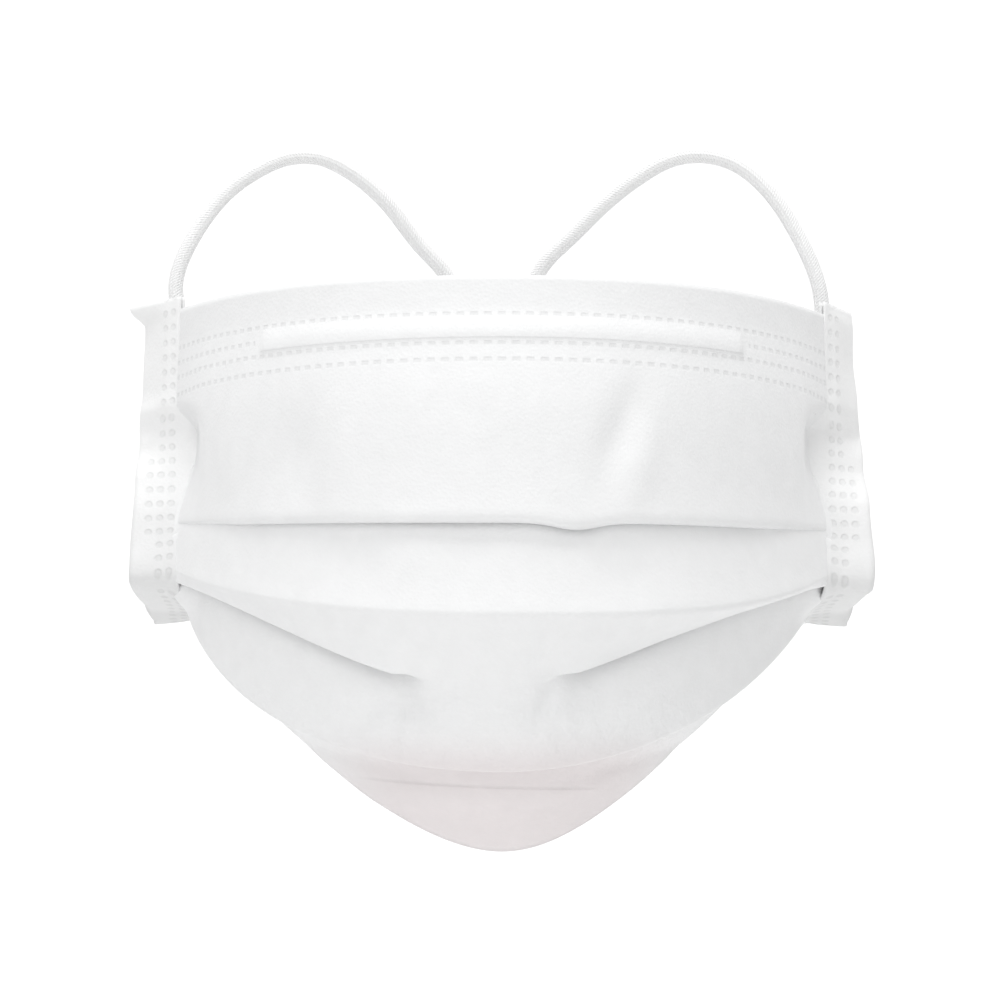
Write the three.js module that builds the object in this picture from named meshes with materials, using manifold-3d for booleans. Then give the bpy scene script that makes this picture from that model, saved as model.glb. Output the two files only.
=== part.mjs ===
// A pleated surgical face mask, opened to the shape that it has on a face.
// Millimetres, +Z up, the outer face looks along -Y, and the wearer's face comes in from +Y.
// The origin is the middle of the top edge, where the mask sits on the bridge of the nose.
// The body is one pleated sheet. It is lofted through upright sections. In each section the
// cloth runs like a belt over small rolls: one roll at each fold's edge and one at its return.
import * as THREE from "three";
import { mergeVertices } from "three/addons/utils/BufferGeometryUtils.js";
import Module from "manifold-3d";

const wasm = await Module();
wasm.setup();

// Driving sizes of the open mask
const HALF_SPAN = 59.5; // from the middle to the inner edge of a side band
const OPEN_HEIGHT = 101.5; // from the top edge to the bottom edge, down the middle
const BOW = 50; // how far the ends of the top edge lie behind its middle

// Cloth
const CLOTH = 1.0; // wall of the body
const LAYER_GAP = 0.3; // between two layers of a closed pleat
const EDGE_CLOTH = 0.6; // wall where the layers are pressed together beside a band
const EDGE_LAYER_GAP = 0.15;
const PRESSED_FROM = 0.8; // share of the half span where the pressing begins
const CLEARANCE = 0.3; // between two pieces
const SMALLEST = 0.01; // edges shorter than this are joined up

// Side bands
const BAND_WIDTH = 9.5;
const BAND_LEAF = 0.9; // wall of the folded strip
const SELVAGE = 1; // the welded edge of the body inside the band
const SELVAGE_WIDTH = 7.2;
const SELVAGE_ROOT = 2; // how far the welded edge reaches into the pleats
const BAND_START = 2.6; // from the end of the pleats to the inner edge of a band
const BAND_CLEARANCE = 0.5; // between a band and the welded edge inside it, for the twist
const BAND_OVERRUN = 1.4; // a band is this much longer than the side at each end

// Hems and nose wire
const HEM_CLOTH = 1.0;
const TOP_HEM = 19;
const BOTTOM_HEM = 8; // in the middle
const BOTTOM_HEM_SIDE = 3; // at its ends
const HEM_END = 0.95; // share of the half span that the hems cover
const WIRE_LENGTH = 97;
const WIRE_WIDTH = 3.6;
const WIRE_THICKNESS = 0.8;
const WIRE_DOWN = 10.5; // from the top edge to the middle of the wire

// Ear loops
const LOOP_DIAMETER = 3;
const LOOP_SIDES = 8;
const LOOP_STEPS = 30;

// Fineness of the loft
const COLUMNS = 36;
const ARC_STEPS = 3;
const BAND_STATIONS = 20;

// The curves that the cloth's edges and folds follow, from the middle to one side.
// out is a share of HALF_SPAN, back a share of BOW and down a share of OPEN_HEIGHT.
// pull is how far the curve runs straight sideways from the middle, before it turns to its
// shoulder, a point that steers it, and to its end beside the band.
const FOLD_CURVES = {
  top_edge: {
    middle: { back: 0, down: 0 },
    right: { pull: 0.42, out: 0.75, back: 0.34, down: 0.012, endOut: 1, endBack: 1, endDown: 0.052 },
    left: { pull: 0.42, out: 0.75, back: 0.34, down: 0.008, endOut: 1, endBack: 1, endDown: 0.042 },
  },
  upper_fold: {
    middle: { back: -0.26, down: 0.415 },
    right: { pull: 0.4, out: 0.78, back: 0.1, down: 0.42, endOut: 1, endBack: 0.82, endDown: 0.442 },
    left: { pull: 0.4, out: 0.78, back: 0.1, down: 0.415, endOut: 1, endBack: 0.82, endDown: 0.428 },
  },
  middle_crease: {
    middle: { back: -0.33, down: 0.581 },
    right: { pull: 0.4, out: 0.76, back: 0.0, down: 0.586, endOut: 1, endBack: 0.74, endDown: 0.488 },
    left: { pull: 0.4, out: 0.76, back: 0.02, down: 0.562, endOut: 1, endBack: 0.74, endDown: 0.482 },
  },
  middle_fold: {
    middle: { back: -0.22, down: 0.71 },
    right: { pull: 0.15, out: 0.72, back: 0.02, down: 0.548, endOut: 0.995, endBack: 0.72, endDown: 0.536 },
    left: { pull: 0.36, out: 0.7, back: 0.0, down: 0.566, endOut: 1, endBack: 0.72, endDown: 0.53 },
  },
  lower_fold: {
    middle: { back: -0.1, down: 0.845 },
    right: { pull: 0.36, out: 0.73, back: 0.18, down: 0.755, endOut: 0.96, endBack: 0.9, endDown: 0.572 },
    left: { pull: 0.42, out: 0.84, back: 0.2, down: 0.768, endOut: 0.975, endBack: 0.9, endDown: 0.568 },
  },
  bottom_edge: {
    middle: { back: 0.34, down: 1.005 },
    right: { pull: 0.25, out: 0.525, back: 0.5, down: 0.83, endOut: 0.96, endBack: 1.2, endDown: 0.605 },
    left: { pull: 0.25, out: 0.63, back: 0.5, down: 0.835, endOut: 0.975, endBack: 1.2, endDown: 0.6 },
  },
};

// The pleats, from the top down. edge names the fold curve. depth is how far the cloth turns
// back under the edge. right and left say how far the pleat has opened there on each side: 0 is
// folded flat, and 1 is pulled out straight. A row's at is its share of the half span. bulge is
// how far the panel above the edge swells. A crease only bends the cloth and hides none of it.
const PLEATS = [
  {
    edge: "upper_fold",
    bulge: 1.2,
    rows: [
      { at: 0, depth: 10, right: 0.02, left: 0.02 },
      { at: 1, depth: 10, right: 0, left: 0 },
    ],
  },
  { edge: "middle_crease", bulge: 0.5, bend: 1.4 },
  {
    edge: "middle_fold",
    bulge: 0.2,
    rows: [
      { at: 0, depth: 2.2, right: 1, left: 1 },
      { at: 0.08, depth: 2.4, right: 0.97, left: 1 },
      { at: 0.13, depth: 3, right: 0.62, left: 0.99 },
      { at: 0.18, depth: 4, right: 0.2, left: 0.8 },
      { at: 0.25, depth: 5.2, right: 0.08, left: 0.16 },
      { at: 0.34, depth: 6.6, right: 0.04, left: 0.06 },
      { at: 0.5, depth: 8.4, right: 0.02, left: 0.02 },
      { at: 1, depth: 8.7, right: 0, left: 0 },
    ],
  },
  {
    edge: "lower_fold",
    bulge: 1.2,
    rows: [
      { at: 0, depth: 5, right: 0.1, left: 0.1 },
      { at: 0.4, depth: 6, right: 0.05, left: 0.05 },
      { at: 1, depth: 9, right: 0, left: 0 },
    ],
  },
];
const PANEL_STEPS = [4, 1, 2, 2, 1, 3, 1, 3];
const BOTTOM_BULGE = 0.5;

// How far a side band turns away from the front, in degrees, from its top end to its bottom end.
const BAND_TURNS = {
  right: [
    { at: 0, turn: 58 },
    { at: 0.11, turn: 60 },
    { at: 0.22, turn: 54 },
    { at: 0.37, turn: 30 },
    { at: 0.47, turn: 12 },
    { at: 0.6, turn: 8 },
    { at: 0.73, turn: 10 },
    { at: 0.88, turn: 25 },
    { at: 1, turn: 46 },
  ],
  left: [
    { at: 0, turn: 42 },
    { at: 0.05, turn: 54 },
    { at: 0.2, turn: 50 },
    { at: 0.33, turn: 28 },
    { at: 0.42, turn: 12 },
    { at: 0.58, turn: 8 },
    { at: 0.73, turn: 10 },
    { at: 0.86, turn: 20 },
    { at: 1, turn: 46 },
  ],
};

// The middle line of each ear loop, chosen by hand, from the top of the band over the arch,
// down behind the mask and back to the band's lower end.
const LOOP_ROUTES = {
  right: [
    [59.4, 56.8, -12],
    [59.6, 57.6, -5],
    [58.8, 58, 1],
    [55.4, 59.2, 9.3],
    [49.6, 61, 18.3],
    [43.7, 62, 23.2],
    [37.7, 62.6, 24.9],
    [31.7, 63.2, 24.2],
    [25.8, 63.8, 21],
    [19.8, 64.4, 16.4],
    [13.8, 65, 10.6],
    [7.4, 65.4, 4],
    [4, 65.6, -5],
    [5.4, 65.6, -14],
    [11, 65.4, -23],
    [20, 65.2, -32],
    [31, 64.6, -40],
    [43, 63.4, -47],
    [53, 61, -52.4],
    [60.6, 56.6, -56],
  ],
  left: [
    [-59.4, 56.8, -12],
    [-60.2, 57.4, -5],
    [-60.6, 58.2, 1.6],
    [-57.8, 59.2, 9],
    [-51.9, 61, 17.3],
    [-45.9, 62, 21.9],
    [-39.9, 62.6, 24.5],
    [-34, 63.2, 24.5],
    [-28.1, 63.8, 21.7],
    [-22.1, 64.4, 16.7],
    [-16.1, 65, 9.1],
    [-9.9, 65.4, 2],
    [-6.4, 65.6, -5.6],
    [-7, 65.6, -14.4],
    [-12, 65.4, -23.2],
    [-20.4, 65.2, -32],
    [-31, 64.6, -40],
    [-43, 63.4, -47],
    [-53, 61, -52],
    [-60.6, 56.6, -55.6],
  ],
};

const SIDES = ["right", "left"];
const towards = { right: 1, left: -1 };

// A smooth value between the rows of a table, at a place given by its column at.
function between(rows, column, at) {
  let i = 0;
  while (i < rows.length - 2 && at > rows[i + 1].at) i += 1;
  const share = THREE.MathUtils.smoothstep(at, rows[i].at, rows[i + 1].at);
  return THREE.MathUtils.lerp(rows[i][column], rows[i + 1][column], share);
}

// One fold curve on one side, as the right half of the mask.
function halfCurve(name, side) {
  const { middle, [side]: s } = FOLD_CURVES[name];
  const place = (out, back, down) =>
    new THREE.Vector3(out * HALF_SPAN, back * BOW, -down * OPEN_HEIGHT);
  return new THREE.CubicBezierCurve3(
    place(0, middle.back, middle.down),
    place(s.pull, middle.back, middle.down),
    place(s.out, s.back, s.down),
    place(s.endOut, s.endBack, s.endDown),
  );
}

const curves = Object.fromEntries(
  SIDES.map((side) => [
    side,
    Object.fromEntries(Object.keys(FOLD_CURVES).map((name) => [name, halfCurve(name, side)])),
  ]),
);

// How far the layers are pressed together at a share of the half span, from 0 to 1.
function pressing(at) {
  return THREE.MathUtils.smoothstep(at, PRESSED_FROM, 1);
}

function clothAt(at) {
  return THREE.MathUtils.lerp(CLOTH, EDGE_CLOTH, pressing(at));
}

// The radius of a roll: half the distance between two layers of a closed pleat.
function rollAt(at) {
  const pressed = EDGE_CLOTH + EDGE_LAYER_GAP;
  return THREE.MathUtils.lerp(CLOTH + LAYER_GAP, pressed, pressing(at)) / 2;
}

// The upright plane of one section: its foot, its outward direction and its direction sideways.
function planeAt(side, at) {
  const guide = curves[side].upper_fold;
  const foot = guide.getPointAt(at);
  const along = guide.getTangentAt(at).setZ(0).normalize();
  return { foot, along, outward: new THREE.Vector3(along.y, -along.x, 0) };
}

// A point of the mask in the coordinates of a section's plane: p outward, z up, l sideways.
function inPlane(plane, point) {
  const from = point.clone().sub(plane.foot);
  return { p: from.dot(plane.outward), z: point.z, l: from.dot(plane.along) };
}

const direction = (angle) => ({ p: Math.cos(angle), z: Math.sin(angle) });
const angleOf = (a, b) => Math.atan2(b.z - a.z, b.p - a.p);

// The rolls of one section: an edge and a return for each pleat.
function rollsAt(side, at, plane) {
  const radius = rollAt(at);
  let before = inPlane(plane, curves[side].top_edge.getPointAt(at));
  let panelStart = before;
  const rolls = [{ ...before, turn: 0, radius: 0 }];
  for (const pleat of PLEATS) {
    const edge = inPlane(plane, curves[side][pleat.edge].getPointAt(at));
    if (pleat.bend) {
      rolls.push({ ...edge, turn: -1, radius: THREE.MathUtils.lerp(pleat.bend, radius, at) });
      before = edge;
      continue;
    }
    const depth = between(pleat.rows, "depth", at);
    const closed = Math.PI - Math.atan2(2 * radius, depth);
    const open = between(pleat.rows, side, at);
    const along = THREE.MathUtils.lerp(angleOf(panelStart, edge), angleOf(before, edge), open);
    const angle = along - (1 - open) * closed;
    const reach = direction(angle);
    const back = { p: edge.p + depth * reach.p, z: edge.z + depth * reach.z, l: edge.l };
    rolls.push({ ...edge, turn: -1, radius }, { ...back, turn: 1, radius });
    before = back;
    panelStart = back;
  }
  const end = inPlane(plane, curves[side].bottom_edge.getPointAt(at));
  rolls.push({ ...end, turn: 0, radius: 0 });
  return rolls;
}

// The cloth's middle line in one section, as points with the direction of the outer face.
function middleLine(side, at, plane) {
  const rolls = rollsAt(side, at, plane);
  const bulges = [...PLEATS.flatMap(({ bulge, bend }) => (bend ? [bulge] : [bulge, 0])), BOTTOM_BULGE];
  const points = [];
  let arrived = null;
  for (let i = 0; i < rolls.length - 1; i += 1) {
    const [a, b] = [rolls[i], rolls[i + 1]];
    const lean = a.turn * a.radius - b.turn * b.radius;
    const reach = Math.hypot(b.p - a.p, b.z - a.z);
    const angle = angleOf(a, b) + Math.asin(THREE.MathUtils.clamp(lean / reach, -1, 1));
    const face = angle + Math.PI / 2;
    const touch = (roll) => ({
      p: roll.p - roll.turn * roll.radius * Math.cos(face),
      z: roll.z - roll.turn * roll.radius * Math.sin(face),
      l: roll.l,
    });
    if (arrived !== null) {
      const swing = a.turn * (((a.turn * (face - arrived)) % (2 * Math.PI)) + 2 * Math.PI) % (2 * Math.PI);
      for (let k = 0; k < ARC_STEPS; k += 1) {
        const here = arrived + (swing * k) / ARC_STEPS;
        points.push({
          p: a.p - a.turn * a.radius * Math.cos(here),
          z: a.z - a.turn * a.radius * Math.sin(here),
          l: a.l,
          face: here,
        });
      }
    }
    const [from, to] = [touch(a), touch(b)];
    const length = Math.hypot(to.p - from.p, to.z - from.z);
    const swell = bulges[i] * (1 - pressing(at));
    for (let k = 0; k < PANEL_STEPS[i]; k += 1) {
      const share = k / PANEL_STEPS[i];
      const out = swell * Math.sin(Math.PI * share) ** 2;
      const slope = (swell * Math.PI * Math.sin(2 * Math.PI * share)) / length;
      points.push({
        p: THREE.MathUtils.lerp(from.p, to.p, share) + out * Math.cos(face),
        z: THREE.MathUtils.lerp(from.z, to.z, share) + out * Math.sin(face),
        l: THREE.MathUtils.lerp(from.l, to.l, share),
        face: face + Math.atan(slope),
      });
    }
    arrived = face;
    if (i === rolls.length - 2) points.push({ ...to, face });
  }
  return points;
}

// A point of a section in the mask's own frame, moved by offset towards the outer face.
function placed(side, plane, point, offset) {
  const p = point.p + offset * Math.cos(point.face);
  const spot = plane.foot
    .clone()
    .addScaledVector(plane.outward, p)
    .addScaledVector(plane.along, point.l)
    .setZ(point.z + offset * Math.sin(point.face));
  return spot.setX(spot.x * towards[side]);
}

// A closed solid between two grids of points that lie over each other, front and back.
function thickSheet(front, back) {
  const [rows, columns] = [front.length, front[0].length];
  const positions = [...front.flat(), ...back.flat()].flatMap((v) => [v.x, v.y, v.z]);
  const at = (i, j, behind) => (behind ? rows * columns : 0) + i * columns + j;
  const index = [];
  const quad = (a, b, c, d) => index.push(a, b, c, a, c, d);
  for (let i = 0; i < rows - 1; i += 1) {
    for (let j = 0; j < columns - 1; j += 1) {
      quad(at(i, j), at(i, j + 1), at(i + 1, j + 1), at(i + 1, j));
      quad(at(i, j, 1), at(i + 1, j, 1), at(i + 1, j + 1, 1), at(i, j + 1, 1));
    }
    quad(at(i, 0), at(i + 1, 0), at(i + 1, 0, 1), at(i, 0, 1));
    quad(at(i, columns - 1), at(i, columns - 1, 1), at(i + 1, columns - 1, 1), at(i + 1, columns - 1));
  }
  for (let j = 0; j < columns - 1; j += 1) {
    quad(at(0, j), at(0, j, 1), at(0, j + 1, 1), at(0, j + 1));
    quad(at(rows - 1, j), at(rows - 1, j + 1), at(rows - 1, j + 1, 1), at(rows - 1, j, 1));
  }
  const geometry = new THREE.BufferGeometry();
  geometry.setAttribute("position", new THREE.Float32BufferAttribute(positions, 3));
  geometry.setIndex(signedVolume(positions, index) < 0 ? index.reverse() : index);
  geometry.computeVertexNormals();
  return geometry;
}

function signedVolume(positions, index) {
  const corner = (i) => new THREE.Vector3().fromArray(positions, 3 * index[i]);
  let sum = 0;
  for (let i = 0; i < index.length; i += 3) sum += corner(i).dot(corner(i + 1).cross(corner(i + 2)));
  return sum / 6;
}

// Places across the mask, as { side, at }, from the left end to the right end.
function across(end, columns) {
  return Array.from({ length: columns + 1 }, (_, k) => {
    const share = (2 * k) / columns - 1;
    return { side: share < 0 ? "left" : "right", at: Math.abs(share) * end };
  });
}

function pleatedSheet() {
  const columns = across(1, COLUMNS).map(({ side, at }) => {
    const plane = planeAt(side, at);
    const line = middleLine(side, at, plane);
    const half = clothAt(at) / 2;
    return {
      front: line.map((point) => placed(side, plane, point, half)),
      back: line.map((point) => placed(side, plane, point, -half)),
    };
  });
  return thickSheet(
    columns.map((column) => column.front),
    columns.map((column) => column.back),
  );
}

// The line that a side band runs along: past the ends of all the fold curves on that side.
function bandLine(side) {
  const ends = Object.values(curves[side]).map((curve) => curve.getPoint(1));
  const [first, last] = [ends[0], ends.at(-1)];
  const over = (end, next) =>
    end.clone().addScaledVector(end.clone().sub(next).normalize(), BAND_OVERRUN);
  return new THREE.CatmullRomCurve3([
    over(first, ends[1]),
    ...ends.slice(0, -1),
    last,
    over(last, ends.at(-2)),
  ]);
}

// The frame of a band at a share of its length: its place, the way across it and its outer face.
function bandFrame(side, line, share) {
  const turn = THREE.MathUtils.degToRad(between(BAND_TURNS[side], "turn", share));
  const down = line.getTangentAt(share);
  const wide = new THREE.Vector3(Math.cos(turn), Math.sin(turn), 0);
  wide.addScaledVector(down, -wide.dot(down)).normalize();
  return { spot: line.getPointAt(share), wide, face: down.clone().cross(wide) };
}

// The places along a band where its strips have a section: evenly, and at the body's corners.
function bandPlaces(line) {
  const tip = BAND_OVERRUN / line.getLength();
  const even = Array.from({ length: BAND_STATIONS + 1 }, (_, k) => k / BAND_STATIONS);
  return { tip, shares: [...even, tip, 1 - tip].sort((a, b) => a - b) };
}

// A strip that follows a side: section gives its points as { across, out, half } with out
// measured towards the outer face and half the strip's half wall, along the direction lean.
// A strip that isn't whole leaves out the ends that stand past the body's corners.
function sideStrip(side, section, whole) {
  const line = bandLine(side);
  const { tip, shares } = bandPlaces(line);
  const from = whole ? 0 : tip;
  const stations = shares.filter((share) => share >= from && share <= 1 - from).map((share) => {
    const frame = bandFrame(side, line, share);
    const point = ({ across: wide, out, lean }, half) => {
      const spot = frame.spot
        .clone()
        .addScaledVector(frame.wide, wide + half * Math.cos(lean))
        .addScaledVector(frame.face, out + half * Math.sin(lean));
      return spot.setX(spot.x * towards[side]);
    };
    return section.map((place) => [point(place, place.half), point(place, -place.half)]);
  });
  return thickSheet(
    stations.map((station) => station.map(([outer]) => outer)),
    stations.map((station) => station.map(([, inner]) => inner)),
  );
}

// The welded side edge of the body, which the band covers.
function selvage(side) {
  const half = SELVAGE / 2;
  const lean = Math.PI / 2;
  const places = [-SELVAGE_ROOT, BAND_START, BAND_WIDTH / 2, SELVAGE_WIDTH];
  const section = places.map((wide) => ({ across: wide, out: 0, half, lean }));
  return sideStrip(side, section, false);
}

// The strip that is folded over the side edge: an outer leaf, a round edge and an inner leaf.
function sideBand(side) {
  const half = BAND_LEAF / 2;
  const middle = SELVAGE / 2 + BAND_CLEARANCE + half;
  const bend = BAND_WIDTH - middle - half;
  const leaf = [BAND_START, BAND_WIDTH / 2];
  const section = leaf.map((wide) => ({ across: wide, out: middle, half, lean: Math.PI / 2 }));
  for (let k = 0; k <= ARC_STEPS + 1; k += 1) {
    const lean = Math.PI / 2 - (Math.PI * k) / (ARC_STEPS + 1);
    section.push({ across: bend + middle * Math.cos(lean), out: middle * Math.sin(lean), half, lean });
  }
  for (const wide of leaf.reverse()) {
    section.push({ across: wide, out: -middle, half, lean: -Math.PI / 2 });
  }
  return sideStrip(side, section, true);
}

// The place on the cloth's middle line at a length measured from its top or bottom edge.
function alongLine(line, length, fromBottom) {
  const points = fromBottom ? [...line].reverse() : line;
  let left = length;
  for (let i = 0; i < points.length - 1; i += 1) {
    const [a, b] = [points[i], points[i + 1]];
    const step = Math.hypot(b.p - a.p, b.z - a.z);
    if (left <= step) {
      const share = left / step;
      const mix = (key) => THREE.MathUtils.lerp(a[key], b[key], share);
      return { p: mix("p"), z: mix("z"), l: mix("l"), face: mix("face") };
    }
    left -= step;
  }
  return points.at(-1);
}

// A strip behind the cloth: section gives { down, behind } for each point, with down measured
// along the cloth from its edge and behind from the cloth's inner face to the strip's middle.
function strip(section, half, end, columns, fromBottom) {
  const made = across(end, columns).map(({ side, at }) => {
    const plane = planeAt(side, at);
    const line = middleLine(side, at, plane);
    const cloth = clothAt(at) / 2;
    return section(at).map(({ down, behind }) => {
      const point = alongLine(line, down, fromBottom);
      return [-1, 1].map((face) => placed(side, plane, point, -cloth - behind + face * half));
    });
  });
  return thickSheet(
    made.map((column) => column.map(([, outer]) => outer)),
    made.map((column) => column.map(([inner]) => inner)),
  );
}

const halfTopLength = curves.right.top_edge.getLength();
const wireEnd = WIRE_LENGTH / 2 / halfTopLength;

// The top hem lies against the cloth and steps over the nose wire.
function topHem() {
  const rest = CLEARANCE + HEM_CLOTH / 2;
  const step = WIRE_THICKNESS + CLEARANCE;
  const rim = WIRE_WIDTH / 2 + 2 * CLEARANCE;
  return strip(
    (at) => {
      const lift = step * (1 - THREE.MathUtils.smoothstep(at, wireEnd + 0.01, wireEnd + 0.1));
      return [
        { down: 0, behind: rest },
        { down: WIRE_DOWN - rim - step, behind: rest },
        { down: WIRE_DOWN - rim, behind: rest + lift },
        { down: WIRE_DOWN + rim, behind: rest + lift },
        { down: WIRE_DOWN + rim + step, behind: rest },
        { down: TOP_HEM, behind: rest },
      ];
    },
    HEM_CLOTH / 2,
    HEM_END,
    COLUMNS,
    false,
  );
}

function noseWire() {
  const behind = CLEARANCE + WIRE_THICKNESS / 2;
  return strip(
    () => [
      { down: WIRE_DOWN - WIRE_WIDTH / 2, behind },
      { down: WIRE_DOWN + WIRE_WIDTH / 2, behind },
    ],
    WIRE_THICKNESS / 2,
    wireEnd,
    COLUMNS / 2,
    false,
  );
}

function bottomHem() {
  const behind = 1.7 * CLEARANCE + HEM_CLOTH / 2;
  return strip(
    (at) => {
      const height = THREE.MathUtils.lerp(BOTTOM_HEM, BOTTOM_HEM_SIDE, at);
      return [0, 1 / 3, 2 / 3, 1].map((share) => ({ down: share * height, behind }));
    },
    HEM_CLOTH / 2,
    HEM_END,
    COLUMNS,
    true,
  );
}

function earLoop(side) {
  const route = LOOP_ROUTES[side].map((point) => new THREE.Vector3(...point));
  const section = new THREE.Shape();
  for (let k = 0; k < LOOP_SIDES; k += 1) {
    const angle = (2 * Math.PI * k) / LOOP_SIDES;
    const [x, y] = [(LOOP_DIAMETER / 2) * Math.cos(angle), (LOOP_DIAMETER / 2) * Math.sin(angle)];
    if (k === 0) section.moveTo(x, y);
    else section.lineTo(x, y);
  }
  return new THREE.ExtrudeGeometry(section, {
    steps: LOOP_STEPS,
    extrudePath: new THREE.CatmullRomCurve3(route),
    bevelEnabled: false,
  });
}

// A three.js geometry as a solid that can be joined, and back again without slivers.
function solidOf(geometry) {
  const bare = new THREE.BufferGeometry();
  bare.setAttribute("position", geometry.getAttribute("position"));
  bare.setIndex(geometry.getIndex());
  const merged = mergeVertices(bare);
  return new wasm.Manifold(
    new wasm.Mesh({
      numProp: 3,
      vertProperties: merged.getAttribute("position").array,
      triVerts: new Uint32Array(merged.getIndex().array),
    }),
  );
}

function geometryOf(solid) {
  const mesh = solid.simplify(SMALLEST).getMesh();
  const geometry = new THREE.BufferGeometry();
  geometry.setAttribute("position", new THREE.Float32BufferAttribute(mesh.vertProperties, 3));
  geometry.setIndex([...mesh.triVerts]);
  geometry.computeVertexNormals();
  return geometry;
}

function pleatedBody() {
  const body = SIDES.reduce(
    (joined, side) => joined.add(solidOf(selvage(side))),
    solidOf(pleatedSheet()),
  );
  return geometryOf(body);
}

const materials = {
  nonwoven: new THREE.MeshStandardMaterial({ color: 0xf1f2f3, roughness: 0.85, metalness: 0 }),
  lining: new THREE.MeshStandardMaterial({ color: 0xf4f4f4, roughness: 0.9, metalness: 0 }),
  binding: new THREE.MeshStandardMaterial({ color: 0xf3f4f4, roughness: 0.8, metalness: 0 }),
  wire: new THREE.MeshStandardMaterial({ color: 0xeeeeea, roughness: 0.45, metalness: 0 }),
  elastic: new THREE.MeshStandardMaterial({ color: 0xf6f6f6, roughness: 0.9, metalness: 0 }),
};

const mask = new THREE.Group();

function addPiece(name, geometry, material) {
  const piece = new THREE.Mesh(geometry, material);
  piece.name = name;
  mask.add(piece);
}

addPiece("pleated_body", pleatedBody(), materials.nonwoven);
addPiece("top_hem", topHem(), materials.lining);
addPiece("bottom_hem", bottomHem(), materials.lining);
addPiece("nose_wire", noseWire(), materials.wire);
for (const side of SIDES) {
  addPiece(`side_band_${side}`, sideBand(side), materials.binding);
  addPiece(`ear_loop_${side}`, earLoop(side), materials.elastic);
}

export default mask;
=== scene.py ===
# %% [markdown]
# # A pleated surgical face mask
#
# The mask is one sheet of white nonwoven cloth with horizontal pleats, a wire in the hem over
# the nose, a folded strip bound over each side and a round elastic loop for each ear. This
# lesson dresses the plain solid model, which is loaded as a fixed frame, with fine cloth.
# Every length is in metres: +X runs across the face, -Y is the way the outer face looks.

# %% Load the solid model
import math

import bpy
import numpy as np
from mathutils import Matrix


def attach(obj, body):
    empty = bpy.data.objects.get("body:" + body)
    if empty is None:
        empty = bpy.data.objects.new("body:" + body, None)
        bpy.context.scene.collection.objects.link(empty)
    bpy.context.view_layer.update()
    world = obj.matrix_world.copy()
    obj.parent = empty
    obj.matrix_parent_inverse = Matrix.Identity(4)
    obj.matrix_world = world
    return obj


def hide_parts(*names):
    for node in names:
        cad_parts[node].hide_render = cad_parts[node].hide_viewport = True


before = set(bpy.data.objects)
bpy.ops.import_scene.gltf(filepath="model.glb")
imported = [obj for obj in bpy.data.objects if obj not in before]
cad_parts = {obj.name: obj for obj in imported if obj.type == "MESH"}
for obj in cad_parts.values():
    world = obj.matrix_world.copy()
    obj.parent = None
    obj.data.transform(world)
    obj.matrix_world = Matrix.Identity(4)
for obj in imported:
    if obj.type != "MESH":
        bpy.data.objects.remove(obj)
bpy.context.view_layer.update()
MM = 0.001

# %% [markdown]
# ## The camera
#
# The photograph looks level at the front of the mask from about a metre away, so the lens is
# long and the perspective is slight. The camera comes first, because the loops are measured
# against what it sees.

# %% Make the camera
CAMERA_PLACE = (-0.00035, -0.95, -0.0394)
bpy.ops.object.camera_add(location=CAMERA_PLACE, rotation=(math.radians(90), 0, 0))
camera = bpy.context.object
camera.data.lens = 195
camera.data.sensor_width = 36
camera.data.clip_end = 20
bpy.context.scene.camera = camera
print("camera at", tuple(camera.location), "lens", camera.data.lens)

# %% [markdown]
# ## The fold curves
#
# A pleated mask is easiest to draw as a few curves: its top edge, the edge of each fold and
# its bottom edge. Each curve has a right and a left half, because worn cloth is never quite
# even. The shares are of the three sizes of the open mask, the same as in the solid model.
# The cloth could also be draped by a simulation, but then the folds would settle where they
# like, and the photograph says where they are.

# %% Sizes and fold curves
HALF_SPAN = 0.0595
OPEN_HEIGHT = 0.1015
BOW = 0.050
CURVE_POINTS = 401  # along one half of a fold curve
# For each side: how far the curve runs straight from the middle, then the shoulder that
# steers it and its end at the side band, each as shares out, back and down.
FOLD_CURVES = {
    "top_edge": {
        "middle": (0, 0),
        "right": (0.42, (0.75, 0.34, 0.012), (1, 1, 0.052)),
        "left": (0.42, (0.75, 0.34, 0.008), (1, 1, 0.042)),
    },
    "upper_fold": {
        "middle": (-0.26, 0.415),
        "right": (0.4, (0.78, 0.1, 0.42), (1, 0.82, 0.442)),
        "left": (0.4, (0.78, 0.1, 0.415), (1, 0.82, 0.428)),
    },
    "middle_crease": {
        "middle": (-0.33, 0.581),
        "right": (0.4, (0.76, 0, 0.586), (1, 0.73, 0.518)),
        "left": (0.4, (0.76, 0.02, 0.562), (1, 0.73, 0.512)),
    },
    "middle_fold": {
        "middle": (-0.22, 0.71),
        "right": (0.15, (0.72, 0.02, 0.548), (0.995, 0.72, 0.537)),
        "left": (0.36, (0.7, 0, 0.566), (1, 0.72, 0.53)),
    },
    "lower_fold": {
        "middle": (-0.1, 0.845),
        "right": (0.36, (0.73, 0.18, 0.755), (0.96, 0.9, 0.572)),
        "left": (0.42, (0.84, 0.2, 0.768), (0.975, 0.9, 0.568)),
    },
    "bottom_edge": {
        "middle": (0.34, 1.005),
        "right": (0.25, (0.525, 0.5, 0.83), (0.96, 1.2, 0.605)),
        "left": (0.25, (0.63, 0.5, 0.835), (0.975, 1.2, 0.6)),
    },
}
SIGN = {"right": 1.0, "left": -1.0}


def lengths_along(points):
    """How far along a line each of its points lies."""
    return np.concatenate([[0], np.cumsum(np.linalg.norm(np.diff(points, axis=0), axis=1))])


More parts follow.
